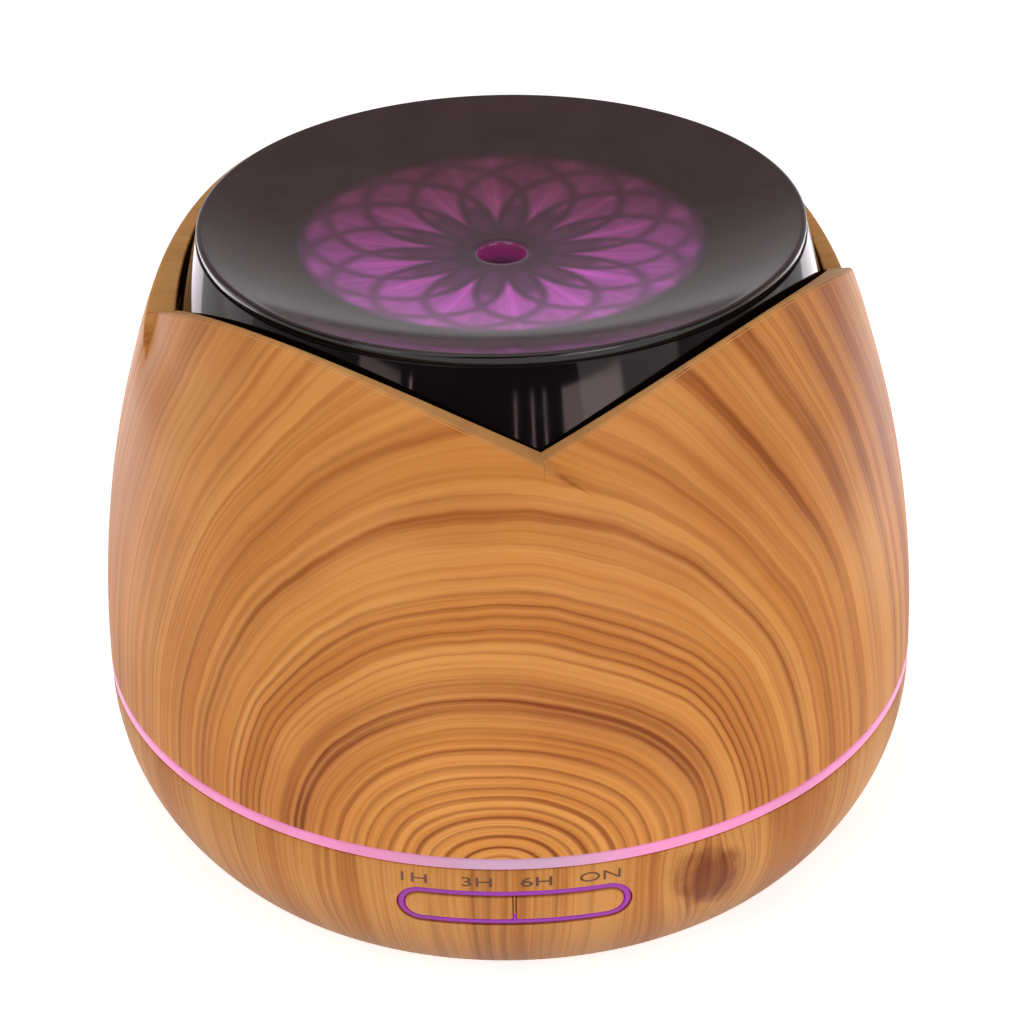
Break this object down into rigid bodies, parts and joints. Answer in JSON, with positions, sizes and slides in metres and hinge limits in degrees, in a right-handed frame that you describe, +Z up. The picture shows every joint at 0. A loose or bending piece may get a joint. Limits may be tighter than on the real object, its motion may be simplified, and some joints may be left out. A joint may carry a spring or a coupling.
{
  "type": "essential oil diffuser",
  "caption": "Round ultrasonic aroma diffuser with a wood-grain petal cover that lifts off a water tank, a lit ring, a flower-patterned dish and push buttons.",
  "frame": {"origin": "middle of the footprint, on the surface that the feet stand on", "axes": "+Z up along the turning axis of the body, -Y towards the buttons at the front, +X to the right seen from the front"},
  "size_m": [0.168, 0.168, 0.1316],
  "materials": {
    "wood_grain": "satin wood-grain printed plastic",
    "black_gloss": "glossy black",
    "smoke_plastic": "glossy smoke",
    "flower_print": "lit violet petal pattern",
    "lit_ring": "milky, lit pink from inside",
    "milky_plastic": "milky translucent",
    "white_plastic": "fine matte",
    "silicone": "soft clear silicone",
    "rubber_feet": "matte black",
    "steel": "zinc-plated",
    "circuit_board": "green solder mask",
    "dark_plastic": "moulded black",
    "copper_winding": "enamelled wire"
  },
  "bodies": {
    "base": {"lower_shell": "wood_grain", "light_ring": "lit_ring", "button_surround": "lit_ring", "water_tank": "milky_plastic", "led_1": "milky_plastic", "led_2": "milky_plastic", "led_3": "milky_plastic", "led_4": "milky_plastic", "led_5": "milky_plastic", "led_6": "milky_plastic", "air_duct": "white_plastic", "duct_cap": "white_plastic", "bottom_plate": "white_plastic", "transducer_retainer": "white_plastic", "transducer_seal": "silicone", "duct_gasket": "silicone", "foot_1": "rubber_feet", "foot_2": "rubber_feet", "foot_3": "rubber_feet", "foot_4": "rubber_feet", "transducer_disc": "steel", "tank_screw_1": "steel", "tank_screw_2": "steel", "tank_screw_3": "steel", "tank_screw_4": "steel", "plate_screw_1": "steel", "plate_screw_2": "steel", "plate_screw_3": "steel", "plate_screw_4": "steel", "retainer_screw_1": "steel", "retainer_screw_2": "steel", "retainer_screw_3": "steel", "main_board": "circuit_board", "button_board": "circuit_board", "led_board": "circuit_board", "fan_frame": "dark_plastic", "dc_jack": "dark_plastic", "mist_switch": "dark_plastic", "light_switch": "dark_plastic", "capacitor": "dark_plastic", "driver_coil": "copper_winding"},
    "cover": {"petal_shell": "wood_grain", "inner_drum": "black_gloss", "dish_top": "smoke_plastic", "flower_plate": "flower_print", "mist_nozzle": "milky_plastic", "nozzle_seal": "silicone", "cover_screw_1": "steel", "cover_screw_2": "steel", "cover_screw_3": "steel", "cover_screw_4": "steel"},
    "fan": {"fan_rotor": "dark_plastic"},
    "mist_key": {"mist_button": "wood_grain"},
    "light_key": {"light_button": "wood_grain"}
  },
  "joints": [
    {"name": "cover_lift", "type": "slide", "parent": "base", "child": "cover", "axis": [0, 0, 1], "range_m": [0, 0.08]},
    {"name": "fan_spin", "type": "hinge", "parent": "base", "child": "fan", "pos_m": [0, 0.028, 0.01], "axis": [0, 0, 1], "continuous": true},
    {"name": "mist_press", "type": "slide", "parent": "base", "child": "mist_key", "axis": [0, 1, 0], "range_m": [0, 0.0005], "stiffness_N_per_m": 800},
    {"name": "light_press", "type": "slide", "parent": "base", "child": "light_key", "axis": [0, 1, 0], "range_m": [0, 0.0005], "stiffness_N_per_m": 800}
  ]
}
